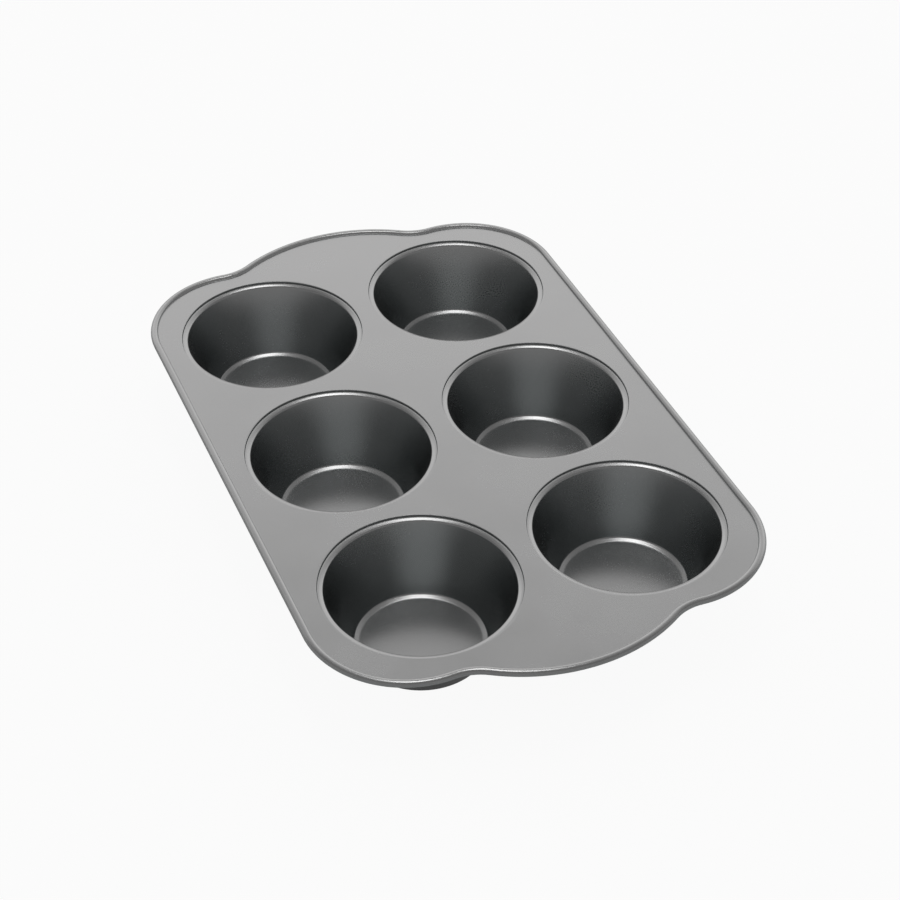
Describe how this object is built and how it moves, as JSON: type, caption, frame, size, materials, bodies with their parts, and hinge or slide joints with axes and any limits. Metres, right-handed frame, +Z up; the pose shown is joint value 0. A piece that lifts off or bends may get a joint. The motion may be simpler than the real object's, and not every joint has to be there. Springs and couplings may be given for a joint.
{
  "type": "muffin pan",
  "caption": "Rectangular muffin pan with deep tapered round cups locked into a flat deck, a rolled rim over a wire and a bulged flat grip at each end.",
  "frame": {"origin": "middle of the plan, at the level of the cup bottoms that the pan stands on", "axes": "+Z up, +Y along the pan's length towards the back grip, +X across the pan to the right"},
  "size_m": [0.239, 0.3818, 0.0413],
  "materials": {
    "coated_steel": "satin grey non-stick coating on carbon steel",
    "wire_steel": "drawn, tinned steel wire"
  },
  "bodies": {
    "root": {"deck": "coated_steel", "rim_wire": "wire_steel", "cup_front_left": "coated_steel", "cup_front_right": "coated_steel", "cup_middle_left": "coated_steel", "cup_middle_right": "coated_steel", "cup_back_left": "coated_steel", "cup_back_right": "coated_steel"}
  },
  "joints": []
}
